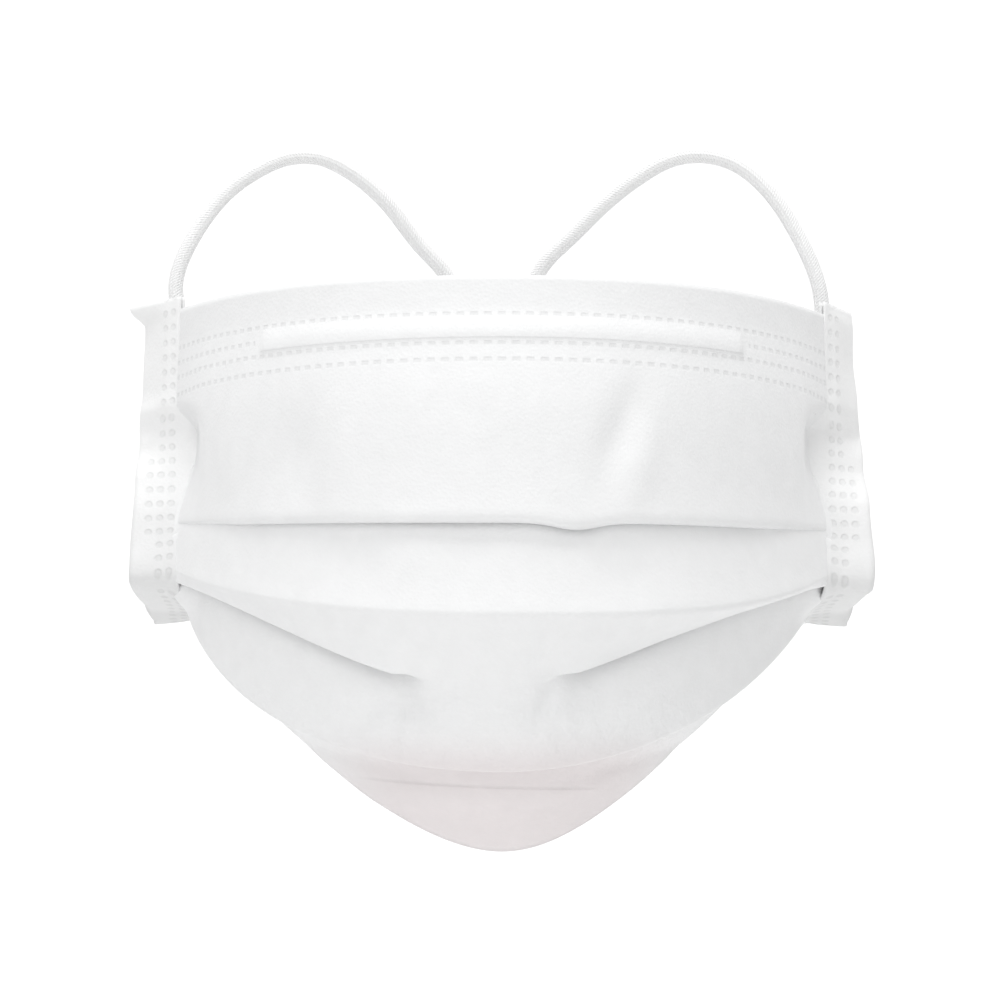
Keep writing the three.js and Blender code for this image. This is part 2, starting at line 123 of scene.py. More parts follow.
def fold_curve(name, side):
    """One half of a fold curve as points, on the right side, with their shares of its length."""
    row = FOLD_CURVES[name]
    pull, shoulder, end = row[side]
    start = (0, *row["middle"])
    corners = [start, (pull, *row["middle"]), shoulder, end]
    size = np.array([HALF_SPAN, BOW, -OPEN_HEIGHT])
    p = [np.array(c, float) * size for c in corners]
    t = np.linspace(0, 1, CURVE_POINTS)[:, None]
    points = (1 - t) ** 3 * p[0] + 3 * (1 - t) ** 2 * t * p[1] + 3 * (1 - t) * t**2 * p[2] + t**3 * p[3]
    length = lengths_along(points)
    return points, length / length[-1], length[-1]


curves = {side: {name: fold_curve(name, side) for name in FOLD_CURVES} for side in SIGN}


def on_curve(side, name, at):
    """The point of a fold curve at a share of its length."""
    points, share, _ = curves[side][name]
    return np.array([np.interp(at, share, points[:, k]) for k in range(3)])


for name in FOLD_CURVES:
    total = sum(curves[side][name][2] for side in SIGN)
    print(f"{name}: {total * 1000:.1f} mm from band to band")

# %% [markdown]
# ## The pleats
#
# Between two fold curves the cloth is a flat panel. At a fold it turns back under itself, and
# a little further up it turns down again. In the middle the lower pleats are pulled open over
# the chin, and at the sides they are pressed flat. So each pleat has a short table, from the
# middle to the side, of how far it turns back and how far each side of it has opened.

# %% Pleat tables
# A row holds the share of the half span, the depth in millimetres and how far the pleat is open
# there on the right and on the left. A bend is a crease that hides no cloth, with its radius,
# and soft says how much rounder than a pressed fold the pleat is before it meets the band.
PLEATS = [
    {"edge": "upper_fold", "bulge": 1.2, "soft": 1.6, "rows": [(0, 10, 0.02, 0.02), (1, 10, 0, 0)]},
    {"edge": "middle_crease", "bulge": 0.5, "bend": 1.4},
    {
        "edge": "middle_fold",
        "bulge": 0.2,
        "soft": 1.3,
        "rows": [
            (0, 0.8, 1, 1),
            (0.08, 1, 0.97, 1),
            (0.13, 1.6, 0.62, 0.99),
            (0.18, 2.8, 0.2, 0.8),
            (0.25, 4.6, 0.08, 0.16),
            (0.34, 6.6, 0.04, 0.06),
            (0.5, 8.4, 0.02, 0.02),
            (1, 8.7, 0, 0),
        ],
    },
    {
        "edge": "lower_fold",
        "bulge": 1.2,
        "soft": 1.4,
        "rows": [
            (0, 5, 0.04, 0.04),
            (0.4, 6, 0.02, 0.02),
            (0.8, 6.5, 0, 0),
            (0.97, 2.2, 0, 0),
            (1, 2, 0, 0),
        ],
    },
]
OPEN_COLUMN = {"right": 2, "left": 3}
BOTTOM_BULGE = 0.5
PANEL_STEPS = [46, 5, 20, 14, 4, 18, 5, 22]  # points down each panel
ARC_STEPS = 5  # points round each roll
PRESSED_FROM = 0.8  # share of the half span where the layers begin to be pressed together
LAYER_PITCH, PRESSED_PITCH = 1.3, 0.75  # millimetres from layer to layer, loose and pressed


def smoothstep(x, a, b):
    """0 up to a, 1 from b on, and a smooth rise between them."""
    t = min(max((x - a) / (b - a), 0.0), 1.0)
    return t * t * (3 - 2 * t)


def table_value(rows, column, at):
    """A column of a table, smooth between the rows, whose first column is the share."""
    i = 0
    while i < len(rows) - 2 and at > rows[i + 1][0]:
        i += 1
    share = smoothstep(at, rows[i][0], rows[i + 1][0])
    return rows[i][column] + share * (rows[i + 1][column] - rows[i][column])


def pressing(at):
    """How much the layers are pressed together, from 0 to 1."""
    return smoothstep(at, PRESSED_FROM, 1)


def roll_radius(at):
    return (LAYER_PITCH + pressing(at) * (PRESSED_PITCH - LAYER_PITCH)) / 2 * MM


# %% [markdown]
# ## One section of the cloth
#
# A section is an upright cut through the mask, square to its outline. In it the cloth runs
# like a belt over small rolls, one at each fold and one at each return, which gives every fold
# a soft round edge instead of a crease of no thickness.

# %% Run the cloth over its rolls
NEARBY = 0.002  # a short step along a fold curve, as a share of it
SOFT_UNTIL, PLAIN_FROM = 0.6, 0.85  # shares of the half span between which soft folds end
LEAST_ROLL = 0.1  # how much of its radius the roll of an opened pleat keeps


def section_plane(side, at):
    """The foot of a section, its way sideways along the mask and its way out of the face."""
    a = on_curve(side, "upper_fold", max(at - NEARBY, 0))
    b = on_curve(side, "upper_fold", min(at + NEARBY, 1))
    along = (b - a) * (1, 1, 0)
    along /= np.linalg.norm(along)
    return on_curve(side, "upper_fold", at), along, np.array([along[1], -along[0], 0])


def rolls_of(side, at, plane):
    """The rolls of one section, as [out, up, sideways, turn, radius]."""
    foot, along, outward = plane

    def flat(point):
        d = point - foot
        return np.array([d @ outward, point[2], d @ along])

    def way(a, b):
        return math.atan2(b[1] - a[1], b[0] - a[0])

    radius = roll_radius(at)
    before = panel_start = flat(on_curve(side, "top_edge", at))
    rolls = [(*before, 0, 0)]
    for pleat in PLEATS:
        edge = flat(on_curve(side, pleat["edge"], at))
        if "bend" in pleat:
            rolls.append((*edge, -1, pleat["bend"] * MM * (1 - at) + radius * at))
            before = edge
            continue
        depth = table_value(pleat["rows"], 1, at) * MM
        opened = table_value(pleat["rows"], OPEN_COLUMN[side], at)
        roll = radius * (1 + (pleat.get("soft", 1) - 1) * (1 - smoothstep(at, SOFT_UNTIL, PLAIN_FROM)))
        closed = math.pi - math.atan2(2 * roll, depth)
        roll *= max(1 - opened, LEAST_ROLL)
        angle = way(panel_start, edge) * (1 - opened) + way(before, edge) * opened - (1 - opened) * closed
        back = np.array([edge[0] + depth * math.cos(angle), edge[1] + depth * math.sin(angle), edge[2]])
        rolls += [(*edge, -1, roll), (*back, 1, roll)]
        before = panel_start = back
    rolls.append((*flat(on_curve(side, "bottom_edge", at)), 0, 0))
    return rolls


bulges = [b for pleat in PLEATS for b in ([pleat["bulge"]] if "bend" in pleat else [pleat["bulge"], 0])]
bulges.append(BOTTOM_BULGE)
LIP_PANEL = 5  # the panel that comes out from behind the middle fold
LIP_PRESS = 3.0 * MM  # how far it is pressed up to that fold's lip, beside a band
WAIST = 4.0 * MM  # how far all the layers are drawn in beside a band, below the top hem
WAIST_FROM = 0.78  # share of the half span where that begins
WAIST_GROWS = (21.5 * MM, 27 * MM)  # how far below the top edge it begins and is whole
WAIST_FADES = (30 * MM, 46 * MM)  # and how far below it begins to fade and is gone
MOST_SWING = 1.6 * math.pi  # no roll turns the cloth further: what seems more is a slight backward turn


def pressed_up(at, s):
    """The part of the press at a share s of the panel, which starts behind the fold."""
    return smoothstep(at, 0.84, 0.96) * smoothstep(s, 0.3, 0.64) * (1 - smoothstep(s, 0.75, 1))


def waist(at, z):
    """How far the layers are drawn in at a height, in the mask's last fifth beside the band."""
    rise = smoothstep(-z, *WAIST_GROWS)
    return WAIST * smoothstep(at, WAIST_FROM, 1) * rise * (1 - smoothstep(-z, *WAIST_FADES))


def on_roll(roll, face):
    """Where cloth that faces a way touches a roll."""
    out = roll[0] - roll[3] * roll[4] * math.cos(face)
    return (out, roll[1] - roll[3] * roll[4] * math.sin(face), roll[2])


def section_line(side, at, plane):
    """The cloth's middle line in one section: rows of out, up, sideways and the way it faces."""
    rolls = rolls_of(side, at, plane)
    rows, arrived = [], None
    for i, (a, b) in enumerate(zip(rolls, rolls[1:])):
        reach = math.hypot(b[0] - a[0], b[1] - a[1])
        lean = (a[3] * a[4] - b[3] * b[4]) / reach
        face = math.atan2(b[1] - a[1], b[0] - a[0]) + math.asin(max(-1, min(1, lean))) + math.pi / 2
        if arrived is not None:
            swing = (a[3] * (face - arrived)) % (2 * math.pi)
            swing = a[3] * (swing if swing < MOST_SWING else swing - 2 * math.pi)
            for k in range(ARC_STEPS):
                here = arrived + swing * k / ARC_STEPS
                rows.append((*on_roll(a, here), here))
        start, end = on_roll(a, face), on_roll(b, face)
        length = math.hypot(end[0] - start[0], end[1] - start[1])
        swell = bulges[i] * MM * (1 - pressing(at))
        for k in range(PANEL_STEPS[i]):
            s = k / PANEL_STEPS[i]
            out = swell * math.sin(math.pi * s) ** 2
            turn = math.atan(swell * math.pi * math.sin(2 * math.pi * s) / length)
            out += LIP_PRESS * pressed_up(at, s) if i == LIP_PANEL else 0
            p = [start[j] + s * (end[j] - start[j]) for j in range(3)]
            rows.append((p[0] + out * math.cos(face), p[1] + out * math.sin(face), p[2], face + turn))
        arrived = face
        if i == len(rolls) - 2:
            rows.append((*end, face))
    rows = np.array(rows)
    rows[:, 0] -= [waist(at, z) for z in rows[:, 1]]
    return rows


rows_in_section = len(section_line("right", 0.5, section_plane("right", 0.5)))
print("points down one section:", rows_in_section)

# %% [markdown]
# ## The side bands' line
#
# Each side is bound by a strip that runs past the ends of all the folds. Its frame turns from
# the cheek towards the front, as the elastic loop pulls its two ends back.

# %% The line and frame of a band
BAND_OVERRUN = 2.3 * MM  # how much longer than the side a band is at each end
BAND_LINE_STEPS = 60
BAND_NEARBY = 0.01  # a short step along a band, as a share of it
# Rows from the top end down: the share of the band's length, how far the band turns away from
# the front in degrees, its inner and outer edge in millimetres from the ends of the folds, and
# how high its inner edge stands over the cloth.
BAND_ROWS = {
    "right": [
        (0, 58, -0.8, 9.6, 0.45),
        (0.11, 60, -0.8, 10, 0.45),
        (0.22, 54, -1, 9.8, 0.3),
        (0.37, 30, -1.8, 8, 0.3),
        (0.47, 12, -1.8, 8, 0.5),
        (0.6, 8, -1, 8.4, 1.7),
        (0.73, 10, -0.8, 8.2, 1.7),
        (0.88, 25, -3.2, 8, 1.3),
        (1, 46, -2.2, 7.4, 0.2),
    ],
    "left": [
        (0, 42, -0.8, 12.6, 0.45),
        (0.05, 54, -0.8, 10.4, 0.45),
        (0.2, 50, -1, 10, 0.3),
        (0.33, 28, -2.2, 8.1, 0.3),
        (0.42, 12, -2.4, 7.9, 0.3),
        (0.58, 8, -1.4, 8.3, 1.7),
        (0.73, 10, -0.8, 8.5, 1.7),
        (0.86, 20, -3.2, 8.2, 1.3),
        (1, 46, -2.2, 7, 0.2),
    ],
}


def catmull_rom(points, steps):
    """A smooth line through points, with centripetal spacing, as an array and its shares of length."""
    p = np.array(points, float)
    p = np.vstack([2 * p[0] - p[1], p, 2 * p[-1] - p[-2]])
    line = []
    for i in range(1, len(p) - 2):
        a, b, c, d = p[i - 1 : i + 3]
        gaps = [max(np.linalg.norm(v), 1e-9) ** 0.5 for v in (b - a, c - b, d - c)]
        t = np.concatenate([[0], np.cumsum(gaps)])
        for u in np.linspace(t[1], t[2], steps, endpoint=False):
            l1 = a + (b - a) * (u - t[0]) / (t[1] - t[0])
            l2 = b + (c - b) * (u - t[1]) / (t[2] - t[1])
            l3 = c + (d - c) * (u - t[2]) / (t[3] - t[2])
            m1 = l1 + (l2 - l1) * (u - t[0]) / (t[2] - t[0])
            m2 = l2 + (l3 - l2) * (u - t[1]) / (t[3] - t[1])
            line.append(m1 + (m2 - m1) * (u - t[1]) / (t[2] - t[1]))
    line = np.array(line + [p[-2]])
    length = lengths_along(line)
    return line, length / length[-1], length[-1]


def band_line(side):
    """A smooth line through the ends of all the fold curves and a little past them."""
    ends = [on_curve(side, name, 1) for name in FOLD_CURVES]

    def over(end, inner):
        return end + (end - inner) / np.linalg.norm(end - inner) * BAND_OVERRUN

    return catmull_rom([over(ends[0], ends[1]), *ends, over(ends[-1], ends[-2])], BAND_LINE_STEPS)


band_lines = {side: band_line(side) for side in SIGN}


def band_frame(side, share):
    """A place on a band's line, the way across the band and the way its outer face looks."""
    line, shares, _ = band_lines[side]
    spot, before, after = [
        np.array([np.interp(s, shares, line[:, k]) for k in range(3)])
        for s in (share, max(share - BAND_NEARBY, 0), min(share + BAND_NEARBY, 1))
    ]
    down = (after - before) / np.linalg.norm(after - before)
    turn = math.radians(table_value(BAND_ROWS[side], 1, share))
    wide = np.array([math.cos(turn), math.sin(turn), 0])
    wide -= down * (wide @ down)
    wide /= np.linalg.norm(wide)
    drawn_in = section_plane(side, 1)[2] * waist(1, spot[2])
    return spot - drawn_in, wide, np.cross(down, wide)


print("band lengths:", {side: round(band_lines[side][2] * 1000, 1) for side in SIGN}, "mm")

# %% [markdown]
# ## The cloth sheet
#
# The body starts as a flat grid, one column for each section and one row for each point down
# it. Every vertex is moved to its place on the folded cloth, and the UV map holds the distance
# across and down the flat cloth, so that the weld marks and the weave follow the folds.

# %% Measure the cloth
COLUMNS = 240
TUCK_SHARES = (0.3, 0.12, 0.06)  # how thick the stack of layers still is at each tucked column
TUCK = len(TUCK_SHARES)
TUCK_STEP = 1.6 * MM
WIRE_HALF = 48.5 * MM
WIRE_TOP, WIRE_BOTTOM = 8.7 * MM, 12.3 * MM
WIRE_LIFT = 0.45 * MM
CLOTH = 0.45 * MM
UV_SIZE = 0.25  # metres of flat cloth across the whole UV map
SOFTEN_ROUNDS, SOFTEN_PULL = 60, 0.8
FADE_ROWS = 8  # rows of points over which the smoothing sets in


def column_places():
    """Side and share of the half span of each column, from the left end to the right end."""
    return [("left" if k < COLUMNS / 2 else "right", abs(2 * k / COLUMNS - 1)) for k in range(COLUMNS + 1)]


def wire_relief(across, down):
    """How far the wire behind the cloth lifts it."""
    ends = smoothstep(WIRE_HALF - abs(across), -0.4 * MM, 0.8 * MM)
    rise = smoothstep(down, WIRE_TOP - 1.6 * MM, WIRE_TOP + 1.2 * MM)
    fall = smoothstep(WIRE_BOTTOM - down, -0.5 * MM, 0.7 * MM)
    return WIRE_LIFT * ends * rise * fall


# Soft dents and swellings, as places on the front in millimetres: across, up, half width, half
# height, lean to the right in degrees, how far the cloth comes forward and how far it sags.
DENTS = [
    (-48, -33, 2.4, 9, 0, 0.5, 0),
    (-37, -32, 4.6, 8, 6, -1.2, 0),
    (-29, -33, 3, 9, 8, 0.5, 0),
    (20.6, -27.5, 3, 8, 20, -1.2, 0),
    (24.4, -33, 3, 8, 14, 0.6, 0),
    (12.8, -43.5, 5, 4, 0, 0.2, 1.2),
    (-49, -49, 2.6, 6, 0, 0.4, 0),
    (-26, -50, 5, 6, 0, -0.7, 0),
    (-15, -48, 5, 5, 0, 0.5, 0),
    (22, -52, 8, 6, 0, -0.7, 0),
    (-24, -76.5, 6, 2.6, -18, -0.7, 0),
    (7.8, -74, 1.8, 4.2, 22, -1, 0),
    (11.8, -76.5, 2.6, 3, 22, 0.5, 0),
    (-15.5, -74.5, 1.8, 4, -28, -0.7, 0),
    (-25, -85.7, 12, 1.4, 14, -0.8, 0),
    (24, -85.7, 12, 1.4, -14, -0.9, 0),
    (26, -63.5, 8, 3, -18, -0.8, 0),
    (-5, -91.5, 26, 2.2, -2, 0.6, 0),
]


def dented(spots, outward):
    """Points moved by the dents: outward is the level way out of the face in their section."""
    x, z = spots[:, 0], spots[:, 2]
    for across, up, wide, high, lean, out, sag in DENTS:
        c, s = math.cos(math.radians(lean)), math.sin(math.radians(lean))
        dx, dz = x - across * MM, z - up * MM
        a, b = (dx * c - dz * s) / (wide * MM), (dx * s + dz * c) / (high * MM)
        much = np.exp(-(a * a) - b * b)[:, None] * MM
        spots = spots + much * (out * outward - sag * np.array([0, 0, 1]))
    return spots


def cloth_points():
    """Places and flat coordinates of the cloth, by column and row."""
    places, flats, outwards = [], [], []
    for side, at in column_places():
        plane = section_plane(side, at)
        line = section_line(side, at, plane)
        foot, along, outward = plane
        down = np.concatenate([[0], np.cumsum(np.hypot(*np.diff(line[:, :2], axis=0).T))])
        across = at * curves[side]["top_edge"][2]
        lift = np.array([wire_relief(across, d) for d in down])
        face = line[:, 3]
        out = line[:, 0] + lift * np.cos(face)
        spots = foot + outward * out[:, None] + along * line[:, 2:3]
        spots[:, 2] = line[:, 1] + lift * np.sin(face)
        mirror = np.array([SIGN[side], 1, 1])
        places.append(spots * mirror)
        outwards.append(outward * mirror)
        flats.append(np.column_stack([np.full(len(down), across * SIGN[side]), down]))
    return np.array(places), np.array(flats), outwards


def soften_opened(places):
    """Smooths the cloth between the two lips of the middle fold, where the pleat has run out."""
    rows = PLEATS[2]["rows"]
    first = sum(PANEL_STEPS[:3]) + ARC_STEPS * 3 + 3
    last = sum(PANEL_STEPS[:5]) + ARC_STEPS * 5 + 9
    opened = [table_value(rows, OPEN_COLUMN[side], at) for side, at in column_places()]
    across = np.array([smoothstep(share, 0.15, 0.9) for share in opened])[1:-1, None, None]
    down = np.array([
        smoothstep(k, first, first + FADE_ROWS) * (1 - smoothstep(k, last - FADE_ROWS, last))
        for k in range(places.shape[1])
    ])
    weight = across * down[1:-1][None, :, None]
    for _ in range(SOFTEN_ROUNDS):
        middle = places[1:-1, 1:-1]
        around = places[1:-1, :-2] + places[1:-1, 2:] + places[:-2, 1:-1] + places[2:, 1:-1]
        places[1:-1, 1:-1] = middle + SOFTEN_PULL * weight * (around / 4 - middle)
    return places


cloth, flat, outwards = cloth_points()
cloth = soften_opened(cloth)
cloth = np.array([dented(spots, outward) for spots, outward in zip(cloth, outwards)])
print("cloth down the middle:", round(flat[COLUMNS // 2, -1, 1] * 1000, 1), "mm")

# %% [markdown]
# On the real mask the stack of layers is welded flat and runs on inside the band. A few more
# columns lead the cloth in between the band's two leaves, each flatter than the last, so that
# no open edge of a pleat shows beside the band.

# %% Tuck the ends of the cloth into the bands
def tucked(side, column):
    """Extra columns that lead the pressed edge of the cloth in between the leaves of a band."""
    line, shares, _ = band_lines[side]
    mirrored = column * (SIGN[side], 1, 1)
    extra = []
    for k in range(1, TUCK + 1):
        spots = []
        for point in mirrored:
            nearest = np.argmin(np.linalg.norm(line - point, axis=1))
            spot, wide, _ = band_frame(side, shares[nearest])
            off = point - spot
            flatter = TUCK_SHARES[k - 1]
            spots.append(spot + off * flatter + wide * (TUCK_STEP * k))
        extra.append(np.array(spots) * (SIGN[side], 1, 1))
    return extra


left_extra = tucked("left", cloth[0])[::-1]
right_extra = tucked("right", cloth[-1])
cloth = np.concatenate([left_extra, cloth, right_extra])
step = np.array([[TUCK_STEP * k, 0] for k in range(1, TUCK + 1)])
flat = np.concatenate([[flat[0] - s for s in step[::-1]], flat, [flat[-1] + s for s in step]])
print("columns with the tucked ends:", len(cloth))


# %% [markdown]
# A grid has one face between each four neighbours, which is what a sheet needs. Its vertices
# could be pushed about with modifiers, but the places are already worked out, so they are
# written into the mesh in one go, and a Solidify modifier gives the sheet its thickness.

# %% Make the sheet
def folded_grid(name, places, flats):
    """A grid whose vertices lie at places[column][row], with its UV map from flats."""
    columns, rows = places.shape[:2]
    bpy.ops.object.select_all(action="DESELECT")
    bpy.ops.mesh.primitive_grid_add(x_subdivisions=columns - 1, y_subdivisions=rows - 1, size=1)
    piece = bpy.context.object
    piece.name = piece.data.name = name
    mesh = piece.data
    start = np.empty(len(mesh.vertices) * 3)
    mesh.vertices.foreach_get("co", start)
    start = start.reshape(-1, 3)
    column = np.rint((start[:, 0] + 0.5) * (columns - 1)).astype(int)
    row = np.rint((0.5 - start[:, 1]) * (rows - 1)).astype(int)
    mesh.vertices.foreach_set("co", places[column, row].ravel())
    corner = np.empty(len(mesh.loops), int)
    mesh.loops.foreach_get("vertex_index", corner)
    uv = flats[column, row] / UV_SIZE * (1, -1) + (0.5, 1)
    mesh.uv_layers[0].data.foreach_set("uv", uv[corner].ravel())
    mesh.update()
    bpy.ops.object.shade_smooth()
    return piece


def thicken(piece, thickness, offset=0.0):
    """Gives a sheet its wall with a Solidify modifier and applies it."""
    bpy.context.view_layer.objects.active = piece
    wall = piece.modifiers.new("wall", "SOLIDIFY")
    wall.thickness = thickness
    wall.offset = offset
    bpy.ops.object.modifier_apply(modifier=wall.name)
    print(piece.name, "faces:", len(piece.data.polygons))


cloth_body = folded_grid("cloth_body", cloth, flat)
thicken(cloth_body, CLOTH)

# %% [markdown]
# ## The side bands
#
# A band is a strip of the same cloth folded over the pleated edge and welded with rows of
# small dots. Its section is a narrow U: an outer leaf, a round edge and an inner leaf. A curve
# with a bevel could carry that section along, but here it changes on the way: it closes at
# both ends and lies deeper where the bottom hem goes in. So each station gets its own U.

# %% Fold the bands
BAND_STATIONS = 120
BAND_CLOTH = 0.4 * MM
LEAF_POINTS, EDGE_POINTS = 19, 11  # across each leaf and round the folded edge
BAND_RISE, BAND_CLOSING = 0.95, 0.55  # millimetres from a leaf to the pleats, and less at the ends
LIFT_FADE = 4 * MM  # how far in from the inner edge of a band its lift fades
HEM_DEPTH = 1.5 * MM  # how much deeper a band's lower end is, to take in the bottom hem
BAND_DROOP = 2.2 * MM  # how far the outer corner of a band's lower end hangs down


def band_section(inner, outer, lift, rise, deeper):
    """Points of the U as across and out. Its leaf behind lies deeper where the hem goes in."""
    radius, middle = rise + deeper / 2, -deeper / 2
    bend = outer - radius
    leaf = np.linspace(inner, bend, LEAF_POINTS)
    height = rise + (lift - rise) * np.array([1 - smoothstep(x, inner, inner + LIFT_FADE) for x in leaf])
    turn = np.linspace(0, math.pi, EDGE_POINTS)[1:-1]
    front = np.column_stack([leaf, height])
    behind = np.column_stack([leaf, -height - deeper])
    edge = np.column_stack([bend + radius * np.sin(turn), middle + radius * np.cos(turn)])
    return np.vstack([front, edge, behind[::-1]])


def fold_band(side):
    """A band as a thin folded strip, with its distances across and down as UV."""
    places, flats = [], []
    for share in np.linspace(0, 1, BAND_STATIONS):
        spot, wide, face = band_frame(side, share)
        inner, outer, lift = (table_value(BAND_ROWS[side], column, share) * MM for column in (2, 3, 4))
        drawn_in = waist(1, spot[2]) * section_plane(side, 1)[2][0] / wide[0]
        closed = 1 - smoothstep(share, 0, 0.04) * (1 - smoothstep(share, 0.97, 1))
        deeper = HEM_DEPTH * smoothstep(share, 0.78, 0.86) * (1 - closed)
        rise = (BAND_RISE - BAND_CLOSING * closed) * MM
        points = band_section(inner, outer + drawn_in, lift, rise, deeper)
        along = inner - drawn_in + np.concatenate([[0], np.cumsum(np.hypot(*np.diff(points, axis=0).T))])
        spots = spot + wide * points[:, :1] + face * points[:, 1:]
        spots[:, 2] -= BAND_DROOP * smoothstep(share, 0.84, 1) * np.clip(points[:, 0] / outer, 0, 1)
        places.append(spots * (SIGN[side], 1, 1))
        flats.append(np.column_stack([along, np.full(len(along), share * band_lines[side][2])]))
    band = folded_grid(f"band_{side}", np.array(places), np.array(flats))
    thicken(band, BAND_CLOTH)
    return band


bands = {side: fold_band(side) for side in SIGN}

# %% [markdown]
# ## The ear loops
#
# Each loop is a soft round knitted elastic. Its two ends are welded behind the two ends of a
# band, it stands up in an arch and comes down behind the mask. A curve with a round bevel
# would look the same. The rings are made one by one because they then carry a UV map in
# millimetres of cord, which the knitted finish needs.

# %% Loop routes
LOOP_DIAMETER = 2.8 * MM
LOOP_SIDES = 24
LOOP_STEPS = 9  # from one point of the route to the next
LOOP_ROUTES = {
    "right": [
        (59.4, 56.8, -12), (59.6, 57.6, -5), (58.8, 58, 1), (55.4, 59.2, 9.3), (49.6, 61, 18.3),
        (43.7, 62, 23.2), (37.7, 62.6, 24.9), (31.7, 63.2, 24.2), (25.8, 63.8, 21), (19.8, 64.4, 16.4),
        (13.8, 65, 10.6), (7.4, 65.4, 4), (4, 65.6, -5), (5.4, 65.6, -14), (11, 65.4, -23),
        (20, 65.2, -32), (31, 64.6, -40), (43, 63.4, -47), (53, 61, -52.4), (60.6, 56.6, -56),
    ],
    "left": [
        (-59.4, 56.8, -12), (-60.2, 57.4, -5), (-60.6, 58.2, 1.6), (-57.8, 59.2, 9), (-51.9, 61, 17.3),
        (-45.9, 62, 21.9), (-39.9, 62.6, 24.5), (-34, 63.2, 24.5), (-28.1, 63.8, 21.7),
        (-22.1, 64.4, 16.7), (-16.1, 65, 9.1), (-9.9, 65.4, 2), (-6.4, 65.6, -5.6), (-7, 65.6, -14.4),
        (-12, 65.4, -23.2), (-20.4, 65.2, -32), (-31, 64.6, -40), (-43, 63.4, -47), (-53, 61, -52),
        (-60.6, 56.6, -55.6),
    ],
}


def loop_rings(line):
    """Rings of points round a smooth line, carried along it without a twist."""
    tangent = np.gradient(line, axis=0)
    tangent /= np.linalg.norm(tangent, axis=1)[:, None]
    normal = np.cross(tangent[0], (0, 0, 1))
    rings = []
    for k, t in enumerate(tangent):
        normal = normal - t * (normal @ t)
        normal /= np.linalg.norm(normal)
        other = np.cross(t, normal)
        angles = np.linspace(0, 2 * math.pi, LOOP_SIDES, endpoint=False)
        ring = [line[k] + LOOP_DIAMETER / 2 * (normal * math.cos(a) + other * math.sin(a)) for a in angles]
        rings.append(ring)
    return np.array(rings)


def make_loop(side):
    """A closed tube along a loop's route, with its length and girth as UV."""
    line, shares, length = catmull_rom(np.array(LOOP_ROUTES[side]) * MM, LOOP_STEPS)
    rings = loop_rings(line)
    count, sides = rings.shape[:2]
    faces = [
        (i * sides + j, i * sides + (j + 1) % sides, (i + 1) * sides + (j + 1) % sides, (i + 1) * sides + j)
        for i in range(count - 1)
        for j in range(sides)
    ]
    faces += [tuple(range(sides))[::-1], tuple(range((count - 1) * sides, count * sides))]
    mesh = bpy.data.meshes.new(f"loop_{side}")
    mesh.from_pydata([tuple(p) for p in rings.reshape(-1, 3)], [], faces)
    uv = mesh.uv_layers.new(name="UVMap")
    for face in mesh.polygons:
        around = {mesh.loops[corner].vertex_index % sides for corner in face.loop_indices}
        closes = len(face.vertices) == 4 and sides - 1 in around
        for corner in face.loop_indices:
            vertex = mesh.loops[corner].vertex_index
            j = vertex % sides
            if closes and j == 0:
                j = sides
            along = shares[vertex // sides] * length
            uv.data[corner].uv = (j / sides * LOOP_DIAMETER * math.pi / UV_SIZE, along / UV_SIZE)
    loop = bpy.data.objects.new(f"loop_{side}", mesh)
    bpy.context.collection.objects.link(loop)
    bpy.ops.object.select_all(action="DESELECT")
    loop.select_set(True)
    bpy.context.view_layer.objects.active = loop
    bpy.ops.object.mode_set(mode="EDIT")
    bpy.ops.mesh.select_all(action="SELECT")
    bpy.ops.mesh.normals_make_consistent(inside=False)
    bpy.ops.object.mode_set(mode="OBJECT")
    bpy.ops.object.shade_smooth()
    print(loop.name, "length", round(length * 1000, 1), "mm")
    return loop, line, length


loops = {side: make_loop(side) for side in SIGN}

# %% [markdown]
# ## Materials
#
# Everything is white, so the finish is carried by relief: the weld marks, the fine fibres and
# the small points where the nonwoven cloth is bonded. One node group makes the fibres and
# bond points, and each material adds its own weld marks.

# %% The nonwoven relief group
FIBRE_SCALE, BOND_SCALE, CRUMPLE_SCALE = 2600, 1600, 260
FIBRE_HEIGHT, BOND_HEIGHT, CRUMPLE_HEIGHT = 0.22, 0.8, 0.9


def sockets(group, inputs, outputs):
    """Gives a node group its inputs and outputs."""
    for name, kind, value in inputs:
        s = group.interface.new_socket(name=name, in_out="INPUT", socket_type=kind)
        if value is not None:
            s.default_value = value
    for name, kind in outputs:
        group.interface.new_socket(name=name, in_out="OUTPUT", socket_type=kind)


def maths(tree, operation, a, b=None, c=None):
    """A math node on numbers or other nodes' outputs, and what it gives."""
    node = tree.nodes.new("ShaderNodeMath")
    node.operation = operation
    for k, value in enumerate((a, b, c)):
        if value is None:
            continue
        if isinstance(value, (int, float)):
            node.inputs[k].default_value = value
        else:
            tree.links.new(value, node.inputs[k])
    return node.outputs[0]


